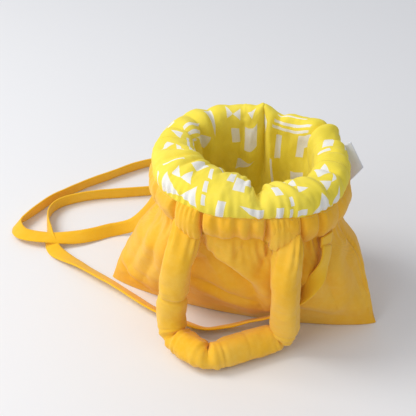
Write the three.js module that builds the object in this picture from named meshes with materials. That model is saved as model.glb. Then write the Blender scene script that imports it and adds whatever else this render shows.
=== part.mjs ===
// Padded tote bag with its top turned outwards into a soft roll, two padded carrying handles and one thin
// shoulder strap. Millimetres, +Z up, +X along the bag's width, front towards -Y.
// The origin is on the surface that the bag stands on, at the middle of the base.
import * as THREE from 'three';

// Driving dimensions.
const BASE_HALF_WIDTH = 185;
const BASE_HALF_DEPTH = 32;
const SKIN = 2;                    // outer fabric with its backing
const LINING = 1.5;
const GAP = 0.5;                   // clearance kept between sewn layers
const WADDING = 6;                 // padding at the foot of the walls
const BODY_TOP = 166;              // where the walls go under the turned-out band
const SIDE_SEAM_GAP = 0.25;        // each half stays this far from the side seam's plane
const SEAM_ANGLE = 0.25 * Math.PI / 180;
const RIM_CENTRE = new THREE.Vector2(4, 10);
const AROUND = 16;                 // facets around each half of the bag

const HANDLE_RADIUS = 17.5;
const HANDLE_SLEEVE = 1.8;
const HANDLE_CORE_GAP = 1.5;
const HANDLE_SIDES = 10;
const HANDLE_STEPS = 28;
const HANDLE_PIVOT_OFFSET = 113;   // hinge line's distance from the rim's centre
const HANDLE_PIVOT_Z = 166;
const PINCH_START_Z = 128;         // the handle flattens from here up to its sewn end
const PINCH_SCALE = 0.35;

const STRAP_DIAMETER = 7;
const STRAP_STEPS = 72;
const STRAP_SIDES = 8;

const FINISH = {
  outer: { color: 0xe6ad3c, roughness: 0.72, metalness: 0 },
  band: { color: 0xe2a838, roughness: 0.72, metalness: 0 },
  handle: { color: 0xe8b144, roughness: 0.7, metalness: 0 },
  lining: { color: 0xe6d052, roughness: 0.8, metalness: 0 },
  wadding: { color: 0xf0eee6, roughness: 0.95, metalness: 0 },
  strap: { color: 0xdc9a26, roughness: 0.7, metalness: 0 },
  label: { color: 0xf2f1ee, roughness: 0.85, metalness: 0 },
};

const bag = new THREE.Group();

function addMesh(name, geometry, finish, parent = bag) {
  const mesh = new THREE.Mesh(geometry, new THREE.MeshStandardMaterial(FINISH[finish]));
  mesh.name = name;
  parent.add(mesh);
  return mesh;
}

// ---- The bag's horizontal section at each height ----

function interpolate(table, at) {
  if (at <= table[0][0]) return table[0][1];
  for (let i = 1; i < table.length; i += 1) {
    const [high, value] = table[i];
    const [low, before] = table[i - 1];
    if (at <= high) return THREE.MathUtils.lerp(before, value, (at - low) / (high - low));
  }
  return table[table.length - 1][1];
}

const HALF_WIDTHS = [
  [0, BASE_HALF_WIDTH], [43, 170.5], [74, 158], [105, 145], [131, 131], [150, 122], [166, 113],
];
const HALF_DEPTHS = [
  [0, BASE_HALF_DEPTH], [20, 45], [50, 66], [80, 81], [110, 91], [140, 98], [166, 100],
];

// A pointed lens at the base opens into a rounded oval at the rim.
function bodyPoint(angle, z, inset) {
  const opening = THREE.MathUtils.smoothstep(z, 0, 130);
  const halfWidth = interpolate(HALF_WIDTHS, z) - inset;
  const halfDepth = interpolate(HALF_DEPTHS, z) - inset;
  const widthPower = THREE.MathUtils.lerp(1, 0.87, opening);
  const depthPower = THREE.MathUtils.lerp(1.45, 0.87, opening);
  const cos = Math.cos(angle);
  const sin = Math.sin(angle);
  return new THREE.Vector3(
    RIM_CENTRE.x * opening + Math.sign(cos) * halfWidth * Math.abs(cos) ** widthPower,
    RIM_CENTRE.y * opening + Math.sign(sin) * (halfDepth * Math.abs(sin) ** depthPower + SIDE_SEAM_GAP),
    z,
  );
}

// A closed slab between two profiles of [inset, height] points, swept around the bag
// from one angle to another.
function wallGeometry(outerProfile, innerProfile, startAngle, endAngle, columns) {
  const rows = outerProfile.length;
  const positions = [];
  const indices = [];
  for (const profile of [outerProfile, innerProfile]) {
    for (let column = 0; column <= columns; column += 1) {
      const angle = THREE.MathUtils.lerp(startAngle, endAngle, column / columns);
      for (const [inset, z] of profile) positions.push(...bodyPoint(angle, z, inset).toArray());
    }
  }
  const outer = (column, row) => column * rows + row;
  const inner = (column, row) => (columns + 1) * rows + column * rows + row;
  const quad = (a, b, c, d) => indices.push(a, b, c, a, c, d);
  for (let column = 0; column < columns; column += 1) {
    for (let row = 0; row < rows - 1; row += 1) {
      quad(outer(column, row), outer(column + 1, row), outer(column + 1, row + 1), outer(column, row + 1));
      quad(inner(column, row), inner(column, row + 1), inner(column + 1, row + 1), inner(column + 1, row));
    }
    quad(outer(column, 0), inner(column, 0), inner(column + 1, 0), outer(column + 1, 0));
    const top = rows - 1;
    quad(outer(column, top), outer(column + 1, top), inner(column + 1, top), inner(column, top));
  }
  for (let row = 0; row < rows - 1; row += 1) {
    quad(outer(0, row), outer(0, row + 1), inner(0, row + 1), inner(0, row));
    quad(outer(columns, row), inner(columns, row), inner(columns, row + 1), outer(columns, row + 1));
  }
  const geometry = new THREE.BufferGeometry();
  geometry.setAttribute('position', new THREE.Float32BufferAttribute(positions, 3));
  geometry.setIndex(indices);
  return geometry;
}

// Moves a profile of [inset, height] points sideways along its own normals.
function offsetProfile(profile, distance) {
  return profile.map(([inset, z], i) => {
    const before = profile[Math.max(i - 1, 0)];
    const after = profile[Math.min(i + 1, profile.length - 1)];
    const along = new THREE.Vector2(after[0] - before[0], after[1] - before[1]).normalize();
    return [inset - along.y * distance, z + along.x * distance];
  });
}

// ---- Profiles, as [inset from the body's outer face, height] ----

const LAYER_HEIGHTS = [20, 35, 50, 65, 80, 95, 110, 125, 140, 153.5];
const LINING_FOOT = 10.6;
const WADDING_FOOT = 8.6;
const WADDING_TOP = 160;
const CUFF_WADDING_FOOT = 160.8;

// The lining goes from its seam with the band, over the roll and down to the bottom of the bag.
const ROLL = [
  [-3.4, 202.2], [-4.6, 210], [-2.6, 219], [2.5, 227.5], [11, 234.5], [22, 237.2],
  [33.5, 234.8], [42.5, 228], [48, 219], [50, 209], [49, 196], [45.5, 182], [41, 168],
];
const INNER_WALL_INSETS = [35.5, 30, 24, 18.8, 15, 12.3, 10.5, 9.6, 9.6, 9.6];
const innerWall = LAYER_HEIGHTS.toReversed().map((z, i) => [INNER_WALL_INSETS[i], z]);
const liningProfile = [...ROLL, ...innerWall, [9.6, LINING_FOOT]];

// Every layer of the inner wall keeps the same heights, so that nested layers keep their gap.
function besideLining(distance) {
  const roll = offsetProfile(liningProfile, distance).slice(0, ROLL.length);
  const wall = liningProfile.slice(ROLL.length).map(([inset, z]) => [inset + distance, z]);
  return [...roll, ...wall];
}

const liningPaddedFace = besideLining(-LINING / 2).toReversed();
const liningPrintedFace = besideLining(LINING / 2).toReversed();
const paddingFace = besideLining(-(LINING / 2 + GAP));

const outerWall = [2.3, WADDING_FOOT, ...LAYER_HEIGHTS, WADDING_TOP, BODY_TOP].map((z) => [0, z]);
const outerWallInside = outerWall.map(([, z]) => [SKIN, z]);

const waddingHeights = [WADDING_FOOT, ...LAYER_HEIGHTS, WADDING_TOP];
const waddingOutside = waddingHeights.map((z) => [SKIN + GAP, z]);
const waddingInside = [
  [SKIN + GAP + WADDING, WADDING_FOOT],
  ...paddingFace.slice(ROLL.length, -1).toReversed(),
  [36.3, WADDING_TOP],
];

const cuffWaddingOutside = [
  [2.5, CUFF_WADDING_FOOT], [2.5, BODY_TOP], [2.3, 180], [0.6, 195], [-2, 203], ...paddingFace.slice(1, 5),
];
const cuffWaddingInside = [[36.7, CUFF_WADDING_FOOT], ...paddingFace.slice(5, ROLL.length).toReversed()];

const bandOutside = [[-2.4, 168.4], [-6.4, 172], [-8, 181], [-7.6, 191], [-5, 201]];
const bandInside = [[1.9, 168.4], [1.8, 172], [1.3, 184], [0, 195], [-2.2, 201]];

const handleEndInside = [[-5.6, 170.2], [-7.4, 172.6], [-8.9, 181], [-8.5, 191], [-6.4, 199.5]];
const handleEndOutside = handleEndInside.map(([inset, z]) => [inset - 3, z]);

// ---- The bag's sewn halves ----

const HALVES = [
  { side: 'front', start: -Math.PI + SEAM_ANGLE, end: -SEAM_ANGLE },
  { side: 'back', start: SEAM_ANGLE, end: Math.PI - SEAM_ANGLE },
];

for (const { side, start, end } of HALVES) {
  const wall = (outside, inside) => wallGeometry(outside, inside, start, end, AROUND);
  addMesh(`outer_${side}_panel`, wall(outerWall, outerWallInside), 'outer');
  addMesh(`wadding_${side}`, wall(waddingOutside, waddingInside), 'wadding');
  addMesh(`cuff_wadding_${side}`, wall(cuffWaddingOutside, cuffWaddingInside), 'wadding');
  addMesh(`facing_band_${side}`, wall(bandOutside, bandInside), 'band');
  addMesh(`lining_${side}`, wall(liningPaddedFace, liningPrintedFace), 'lining');
}

// ---- The base: outer fabric, padding and lining, each a flat lens ----

// The walls lean in and belly out, so a layer is as wide as at its top and as deep as at its foot.
function baseShape(inset, foot, top) {
  const outline = [];
  const count = AROUND * 2;
  for (let i = 0; i < count; i += 1) {
    const angle = (i + 0.5) * 2 * Math.PI / count;
    outline.push(new THREE.Vector2(bodyPoint(angle, top, inset).x, bodyPoint(angle, foot, inset).y));
  }
  return new THREE.Shape(outline);
}

function addBaseLayer(name, inset, foot, thickness, finish) {
  const shape = baseShape(inset, foot, foot + thickness);
  const geometry = new THREE.ExtrudeGeometry(shape, { depth: thickness, bevelEnabled: false });
  addMesh(name, geometry, finish).position.z = foot;
}

addBaseLayer('outer_base', 0, 0, SKIN, 'outer');
addBaseLayer('wadding_base', SKIN + 2 * GAP, SKIN + 0.3, WADDING, 'wadding');
addBaseLayer('lining_base', SKIN + WADDING + 3 * GAP, WADDING_FOOT, LINING, 'lining');

// ---- Handles: a sewn sleeve around a wadding core, and a flat end sewn across the band for each leg ----

const HANDLE_LEG_ANGLES = { left: -111, right: -59.5 };
const HANDLE_END_HALF_ANGLE = 8.6;

// The front handle's middle line: x, distance outwards from the hinge line, height.
const HANDLE_ROUTE = [
  [-46, 0, 166], [-50, 0, 146], [-56, 1, 115], [-63, 1, 84], [-67, -1, 58], [-66, -1, 41], [-60, 3, 27],
  [-47, 12, 19.5], [-30, 24, 18.5], [-10, 33, 18.5], [8, 28, 18.5], [26, 12, 18.5], [43, -5, 18.5],
  [57, -16, 21], [67, -20, 31], [71, -19, 47], [74, -14, 72], [76, -8, 100], [75, -3, 132], [71, 0, 166],
];

function handleCurve(outwards) {
  const pivotY = RIM_CENTRE.y + outwards * HANDLE_PIVOT_OFFSET;
  const points = HANDLE_ROUTE.map(([x, out, z]) => {
    return new THREE.Vector3(-outwards * x, pivotY + outwards * out, z);
  });
  return new THREE.CatmullRomCurve3(points, false, 'centripetal');
}

function circlePath(PathType, radius, sides) {
  const points = [];
  for (let i = 0; i < sides; i += 1) {
    const angle = i * 2 * Math.PI / sides;
    points.push(new THREE.Vector2(radius * Math.cos(angle), radius * Math.sin(angle)));
  }
  return new PathType(points);
}

// Squeezes the top of both legs towards the hinge line, where the tube is sewn flat.
function pinchEnds(geometry, pivotY) {
  const position = geometry.getAttribute('position');
  for (let i = 0; i < position.count; i += 1) {
    const pinch = THREE.MathUtils.smoothstep(position.getZ(i), PINCH_START_Z, HANDLE_PIVOT_Z);
    const scale = THREE.MathUtils.lerp(1, PINCH_SCALE, pinch);
    position.setY(i, pivotY + (position.getY(i) - pivotY) * scale);
  }
  return geometry;
}

function addHandle(side, outwards) {
  const curve = handleCurve(outwards);
  const pivotY = RIM_CENTRE.y + outwards * HANDLE_PIVOT_OFFSET;
  const options = { steps: HANDLE_STEPS, bevelEnabled: false, extrudePath: curve };
  const sleeve = circlePath(THREE.Shape, HANDLE_RADIUS, HANDLE_SIDES);
  sleeve.holes.push(circlePath(THREE.Path, HANDLE_RADIUS - HANDLE_SLEEVE, HANDLE_SIDES));
  const core = circlePath(THREE.Shape, HANDLE_RADIUS - HANDLE_SLEEVE - HANDLE_CORE_GAP, HANDLE_SIDES);
  const sleeveGeometry = pinchEnds(new THREE.ExtrudeGeometry(sleeve, options), pivotY);
  const coreGeometry = pinchEnds(new THREE.ExtrudeGeometry(core, options), pivotY);
  addMesh(`${side}_handle_sleeve`, sleeveGeometry, 'handle');
  addMesh(`${side}_handle_core`, coreGeometry, 'wadding');
  for (const [leg, degrees] of Object.entries(HANDLE_LEG_ANGLES)) {
    const middle = outwards < 0 ? degrees : degrees + 180;
    const start = THREE.MathUtils.degToRad(middle - HANDLE_END_HALF_ANGLE);
    const end = THREE.MathUtils.degToRad(middle + HANDLE_END_HALF_ANGLE);
    const geometry = wallGeometry(handleEndOutside, handleEndInside, start, end, 4);
    addMesh(`${side}_handle_end_${leg}`, geometry, 'handle');
  }
}

addHandle('front', -1);
addHandle('rear', 1);

// ---- Shoulder strap: one cord from the right end tab, round the left of the bag, to the left end tab ----

const TAB = { width: 22, thickness: 4, height: 14 };
const TAB_FOOT = 152;
const TAB_OFFSET = 4;              // middle of the tab's thickness, out from the wall at its foot
const TAB_ANGLES = { right: -30, left: 150 };

function placeOnWall(object, angle, z, outset) {
  const here = bodyPoint(angle, z, -outset);
  const ahead = bodyPoint(angle + 0.01, z, -outset);
  object.position.copy(here);
  object.rotation.z = Math.atan2(ahead.y - here.y, ahead.x - here.x);
}

for (const [side, degrees] of Object.entries(TAB_ANGLES)) {
  const holder = new THREE.Group();
  placeOnWall(holder, THREE.MathUtils.degToRad(degrees), TAB_FOOT, TAB_OFFSET);
  const tabGeometry = new THREE.BoxGeometry(TAB.width, TAB.thickness, TAB.height);
  const tab = addMesh(`strap_end_${side}`, tabGeometry, 'strap', holder);
  tab.position.z = TAB.height / 2;
  bag.add(holder);
}

const STRAP_ROUTE = [
  [114.5, -46.4, 150.2], [115.5, -54, 137], [111, -64, 117], [99, -70, 94], [85, -69, 71], [72, -62, 51],
  [52, -59, 31], [25, -61, 18], [0, -68, 10], [-26, -78, 8], [-58, -74, 8], [-96, -64, 8], [-162, -37, 8],
  [-233, -3, 7], [-284, 31, 4.2], [-306, 66, 4.2], [-322, 106, 8], [-316, 133, 9], [-284, 161, 9],
  [-197, 199, 9], [-140, 224, 9], [-118, 252, 9], [-130, 284, 9], [-170, 294, 9], [-217, 279, 9],
  [-280, 212, 9], [-327, 148, 9], [-352, 90, 9], [-354, 66, 9], [-334, 46, 11], [-295, 45, 13.2],
  [-258, 59, 11], [-212, 92, 10], [-188, 98, 18], [-165, 91, 44], [-143, 80, 80], [-123, 73, 118],
  [-107, 66.6, 150.2],
];

const strapCurve = new THREE.CatmullRomCurve3(
  STRAP_ROUTE.map((point) => new THREE.Vector3(...point)), false, 'centripetal');
const strapSection = circlePath(THREE.Shape, STRAP_DIAMETER / 2, STRAP_SIDES);
const strapOptions = { steps: STRAP_STEPS, bevelEnabled: false, extrudePath: strapCurve };
addMesh('shoulder_strap', new THREE.ExtrudeGeometry(strapSection, strapOptions), 'strap');

// ---- Side label: a folded, blank fabric tag that stands out from the right side seam ----

const LABEL = { depth: 24, thickness: 0.8, length: 44 };
const LABEL_ANGLE = THREE.MathUtils.degToRad(26);
const LABEL_SEAM = { foot: { z: 181, inset: -12 }, top: { z: 224, inset: -5 } };

// A holder whose z axis runs up the label's sewn edge and whose x axis points away from the bag.
function labelHolder() {
  const { foot, top } = LABEL_SEAM;
  const seamFoot = bodyPoint(LABEL_ANGLE, foot.z, foot.inset);
  const seamTop = bodyPoint(LABEL_ANGLE, top.z, top.inset);
  const beside = bodyPoint(LABEL_ANGLE + 0.01, foot.z, foot.inset);
  const upSeam = seamTop.clone().sub(seamFoot).normalize();
  const aroundBag = beside.sub(seamFoot).normalize();
  const outOfBag = new THREE.Vector3().crossVectors(aroundBag, upSeam).normalize();
  const acrossLabel = new THREE.Vector3().crossVectors(upSeam, outOfBag);
  const holder = new THREE.Group();
  holder.matrixAutoUpdate = false;
  holder.matrix.makeBasis(outOfBag, acrossLabel, upSeam).setPosition(seamFoot);
  return holder;
}

const holder = labelHolder();
const labelGeometry = new THREE.BoxGeometry(LABEL.depth, LABEL.thickness, LABEL.length);
const label = addMesh('side_label', labelGeometry, 'label', holder);
label.position.set(LABEL.depth / 2, 0, LABEL.length / 2);
bag.add(holder);

export default bag;
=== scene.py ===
import logging
import math
from collections.abc import Callable, Sequence
from dataclasses import dataclass
from enum import Enum

import bpy
import numpy as np
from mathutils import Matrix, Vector


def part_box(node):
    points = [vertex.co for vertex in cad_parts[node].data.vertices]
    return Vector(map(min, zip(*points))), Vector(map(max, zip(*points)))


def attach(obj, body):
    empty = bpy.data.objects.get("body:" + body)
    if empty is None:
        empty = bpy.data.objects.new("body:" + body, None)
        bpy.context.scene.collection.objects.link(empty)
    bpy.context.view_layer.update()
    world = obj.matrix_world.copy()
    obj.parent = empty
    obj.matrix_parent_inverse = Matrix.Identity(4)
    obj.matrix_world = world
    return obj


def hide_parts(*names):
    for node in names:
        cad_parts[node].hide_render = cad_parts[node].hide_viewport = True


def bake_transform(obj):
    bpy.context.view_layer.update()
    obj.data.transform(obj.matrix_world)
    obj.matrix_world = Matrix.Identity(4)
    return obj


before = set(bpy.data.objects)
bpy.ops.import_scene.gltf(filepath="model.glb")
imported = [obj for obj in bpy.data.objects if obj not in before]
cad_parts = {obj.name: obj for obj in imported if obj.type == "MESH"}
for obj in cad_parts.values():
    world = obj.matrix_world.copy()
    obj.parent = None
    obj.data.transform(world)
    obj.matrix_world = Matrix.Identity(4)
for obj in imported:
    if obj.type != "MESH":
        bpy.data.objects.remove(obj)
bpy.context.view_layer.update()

log = logging.getLogger("tote")

ROLL_RADIUS = 0.115          # cloth coordinates run along a circle of this radius
SEAM_GAP = 0.0008            # radians that each half keeps from the side seam
ON_FLOOR = 0.0004            # lowest height of a piece that lies on the ground
REAR_SHIFT = 0.020           # how far behind its mirror place the rear handle is
UP = np.array([0.0, 0.0, 1.0])


class Half(Enum):
    """The two halves that each layer is cut in, with the angles that each spans around the bag."""

    FRONT = (-math.pi, 0.0)
    BACK = (0.0, math.pi)

    @property
    def word(self) -> str:
        """The half's name, as the pieces use it."""
        return self.name.lower()

    def angles(self, columns: int) -> np.ndarray:
        """Evenly spaced angles, clear of the side seams."""
        return np.linspace(self.value[0] + SEAM_GAP, self.value[1] - SEAM_GAP, columns)

    def from_seam(self, angle: np.ndarray) -> np.ndarray:
        """How far each angle is from the nearer side seam."""
        return np.minimum(angle - self.value[0], self.value[1] - angle)


# ---------------------------------------------------------------- small geometry helpers

def smoothstep(low: float, high: float, value: np.ndarray) -> np.ndarray:
    """Smooth ramp from 0 at low to 1 at high."""
    t = np.clip((np.asarray(value, float) - low) / (high - low), 0.0, 1.0)
    return t * t * (3.0 - 2.0 * t)


def bell(value: np.ndarray, width: float) -> np.ndarray:
    """Bell curve of height 1 and the given half width."""
    return np.exp(-(np.asarray(value, float) / width) ** 2)


def mix(a: np.ndarray, b: np.ndarray, share: np.ndarray) -> np.ndarray:
    """Blend of a and b, with share 0 for all a and 1 for all b."""
    return a + (b - a) * share


def unit(vectors: np.ndarray) -> np.ndarray:
    """Vectors scaled to length 1 along their last axis."""
    return vectors / np.maximum(np.linalg.norm(vectors, axis=-1, keepdims=True), 1e-12)


def grid_normals(points: np.ndarray) -> np.ndarray:
    """Unit normals of a grid of points, from its columns turned into its rows.

    Args:
        points: rows x columns x 3 array.

    Returns:
        An array of the same shape.
    """
    down, across = np.gradient(points, axis=0), np.gradient(points, axis=1)
    return unit(np.cross(across, down))


def smooth_path(points: Sequence[Sequence[float]], count: int) -> np.ndarray:
    """Evenly spaced points on a smooth curve through the given ones (centripetal Catmull-Rom)."""
    given = np.array(points, float)
    ends = [2 * given[0] - given[1], 2 * given[-1] - given[-2]]
    padded = np.vstack([ends[0], given, ends[1]])
    fine = []
    for p0, p1, p2, p3 in zip(padded, padded[1:], padded[2:], padded[3:]):
        t1 = np.linalg.norm(p1 - p0) ** 0.5
        t2 = t1 + np.linalg.norm(p2 - p1) ** 0.5
        t3 = t2 + np.linalg.norm(p3 - p2) ** 0.5
        t = np.linspace(t1, t2, 24, endpoint=False)[:, None]
        a1 = (t1 - t) / t1 * p0 + t / t1 * p1
        a2 = (t2 - t) / (t2 - t1) * p1 + (t - t1) / (t2 - t1) * p2
        a3 = (t3 - t) / (t3 - t2) * p2 + (t - t2) / (t3 - t2) * p3
        b1 = (t2 - t) / t2 * a1 + t / t2 * a2
        b2 = (t3 - t) / (t3 - t1) * a2 + (t - t1) / (t3 - t1) * a3
        fine.append((t2 - t) / (t2 - t1) * b1 + (t - t1) / (t2 - t1) * b2)
    line = np.vstack([*fine, given[-1:]])
    along = np.concatenate([[0], np.cumsum(np.linalg.norm(np.diff(line, axis=0), axis=1))])
    places = np.linspace(0, along[-1], count)
    return np.stack([np.interp(places, along, line[:, i]) for i in range(3)], axis=1)


def path_length(points: np.ndarray) -> float:
    """Length of a line through points."""
    return float(np.linalg.norm(np.diff(points, axis=0), axis=1).sum())


@dataclass(frozen=True)
class Ripple:
    """A repeatable wavy function: count sines with seeded phases and low to high waves in a turn."""

    seed: int
    low: int
    high: int
    count: int = 7

    def at(self, angle: np.ndarray) -> np.ndarray:
        """Value from about -1 to 1 at each angle, repeating every turn."""
        rng = np.random.default_rng(self.seed)
        waves = rng.integers(self.low, self.high, self.count, endpoint=True)
        phases = rng.uniform(0, 2 * math.pi, self.count)
        total = sum(np.sin(w * np.asarray(angle) + p) for w, p in zip(waves, phases))
        return total / math.sqrt(self.count)


@dataclass(frozen=True)
class Fold:
    """A soft crease along a line in a piece's own two flat coordinates, in metres.

    Attributes:
        line: points of the crease.
        depth: how far the valley sinks; a negative depth is a ridge.
        width: half width of the valley.
        ridge: height of the swelling beside the valley.
        ridge_at: how far to the left of the line's direction the swelling is; negative is right.
        ridge_width: half width of the swelling.
    """

    line: np.ndarray
    depth: float
    width: float
    ridge: float = 0.0
    ridge_at: float = 0.015
    ridge_width: float = 0.014

    def height(self, u: np.ndarray, v: np.ndarray) -> np.ndarray:
        """Displacement along the normal at each (u, v).

        Args:
            u: first flat coordinate.
            v: second flat coordinate.

        Returns:
            Metres, negative in the valley.
        """
        nearest = np.full(u.shape, 1e9)
        signed = np.zeros(u.shape)
        along = np.zeros(u.shape)
        steps = np.linalg.norm(np.diff(self.line, axis=0), axis=1)
        for i, (a, step) in enumerate(zip(self.line, steps)):
            direction = (self.line[i + 1] - a) / step
            du, dv = u - a[0], v - a[1]
            t = np.clip(du * direction[0] + dv * direction[1], 0.0, step)
            off_u, off_v = du - t * direction[0], dv - t * direction[1]
            distance = np.hypot(off_u, off_v)
            side = np.sign(direction[0] * off_v - direction[1] * off_u)
            closer = distance < nearest
            nearest = np.where(closer, distance, nearest)
            signed = np.where(closer, side * distance, signed)
            along = np.where(closer, steps[:i].sum() + t, along)
        fade = np.sin(np.pi * np.clip(along / steps.sum(), 0.04, 0.96)) ** 0.5
        valley = -self.depth * np.exp(-(nearest / self.width) ** 1.3)
        swell = self.ridge * bell(signed - self.ridge_at, self.ridge_width)
        return (valley + swell) * fade


def folds_mm(*rows: tuple) -> tuple[Fold, ...]:
    """Folds from rows in millimetres.

    Args:
        rows: for each fold, its points as one flat row and then its sizes, in the order of Fold's fields.

    Returns:
        The folds, in metres.
    """
    return tuple(
        Fold(np.array(line, float).reshape(-1, 2) / 1000, *(size / 1000 for size in sizes))
        for line, *sizes in rows)


def raised(points: np.ndarray, height: np.ndarray) -> np.ndarray:
    """Points moved along their grid's normals."""
    return points + grid_normals(points) * height[..., None]


# ---------------------------------------------------------------- meshes

def new_object(name: str, points: np.ndarray, faces: list[list[int]], uvs: np.ndarray) -> bpy.types.Object:
    """A smooth mesh object with one UV layer named Cloth, in metres of cloth.

    Args:
        name: the piece's name.
        points: vertex positions, one row each.
        faces: vertex numbers of each face.
        uvs: cloth coordinates of each vertex.

    Returns:
        The new object, linked to the scene.
    """
    name = name.replace(" ", "_")
    mesh = bpy.data.meshes.new(name)
    mesh.from_pydata(points.tolist(), [], faces)
    layer = mesh.uv_layers.new(name="Cloth")
    corner = np.empty(len(mesh.loops), np.int32)
    mesh.loops.foreach_get("vertex_index", corner)
    layer.data.foreach_set("uv", uvs[corner].astype(np.float32).ravel())
    mesh.polygons.foreach_set("use_smooth", np.ones(len(mesh.polygons), bool))
    mesh.update()
    piece = bpy.data.objects.new(name, mesh)
    bpy.context.scene.collection.objects.link(piece)
    return piece


def slab(name: str, outer: np.ndarray, inner: np.ndarray, uv: np.ndarray) -> bpy.types.Object:
    """A closed solid between two grids of the same size.

    Args:
        name: the piece's name.
        outer: rows x columns x 3 points of the face that looks out.
        inner: the same for the face behind it.
        uv: rows x columns x 2 cloth coordinates.

    Returns:
        The new object.
    """
    index = np.arange(outer.shape[0] * outer.shape[1]).reshape(outer.shape[:2])
    a, b, c, d = index[:-1, :-1], index[:-1, 1:], index[1:, 1:], index[1:, :-1]
    rim = np.concatenate([index[0, ::-1], index[1:, 0], index[-1, 1:], index[-2::-1, -1]])
    quads = [
        np.stack([a, b, c, d], axis=-1),
        np.stack([a, d, c, b], axis=-1) + index.size,
        np.stack([rim[:-1], rim[1:], rim[1:] + index.size, rim[:-1] + index.size], axis=-1)]
    faces = [face for part in quads for face in part.reshape(-1, 4).tolist()]
    points = np.vstack([outer.reshape(-1, 3), inner.reshape(-1, 3)])
    uvs = np.vstack([uv.reshape(-1, 2), uv.reshape(-1, 2)])
    return new_object(name, points, faces, uvs)


def cloth(name: str, points: np.ndarray, uv: np.ndarray, thickness: float) -> bpy.types.Object:
    """A thin closed sheet whose outer face is the given grid."""
    return slab(name, points, raised(points, np.full(points.shape[:2], -thickness)), uv)


def loft(name: str, rings: np.ndarray, uv: np.ndarray) -> bpy.types.Object:
    """A closed tube through rings of points, with a flat cap on each end.

    Args:
        name: the piece's name.
        rings: rings x points x 3 array, each ring a closed loop.
        uv: rings x points x 2 cloth coordinates.

    Returns:
        The new object.
    """
    index = np.arange(rings.shape[0] * rings.shape[1]).reshape(rings.shape[:2])
    after = np.roll(index, -1, axis=1)
    quads = np.stack([index[:-1], index[1:], after[1:], after[:-1]], axis=-1)
    faces = [*quads.reshape(-1, 4).tolist(), index[0].tolist(), index[-1, ::-1].tolist()]
    return new_object(name, rings.reshape(-1, 3), faces, uv.reshape(-1, 2))


def path_frames(path: np.ndarray, start_side: tuple[float, float, float]) -> tuple[np.ndarray, np.ndarray]:
    """Directions across a path, carried along it with the least twist.

    Args:
        path: points of the path.
        start_side: the side direction wanted at the start.

    Returns:
        Sides, and the directions at right angles to the sides and the path.
    """
    tangents = unit(np.gradient(path, axis=0))
    sides = [np.array(start_side, float)]
    for tangent in tangents:
        side = sides[-1] - tangent * np.dot(sides[-1], tangent)
        sides.append(side / np.linalg.norm(side))
    side = np.array(sides[1:])
    return side, np.cross(tangents, side)


# ---------------------------------------------------------------- the bag's form

@dataclass(frozen=True)
class Outline:
    """A value that changes around the bag, smoothed between pairs of an angle and a value.

    Angles and the blur's half width are in degrees. 0 is the right side and -90 the front.
    """

    values: tuple[tuple[float, float], ...]
    blur: float = 5.0

    def at(self, angle: np.ndarray) -> np.ndarray:
        """The value at each angle, in radians."""
        degrees = np.arange(720) / 2 - 180
        given = np.array(sorted(self.values), float)
        raw = np.interp(degrees, given[:, 0], given[:, 1], period=360)
        reach = np.arange(-60, 61) / 2
        kernel = np.exp(-(reach / self.blur) ** 2)
        ring = np.concatenate([raw[-60:], raw, raw[:60]])
        soft = np.convolve(ring, kernel / kernel.sum(), mode="valid")
        return np.interp(np.degrees(angle), degrees, soft, period=360)


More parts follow.
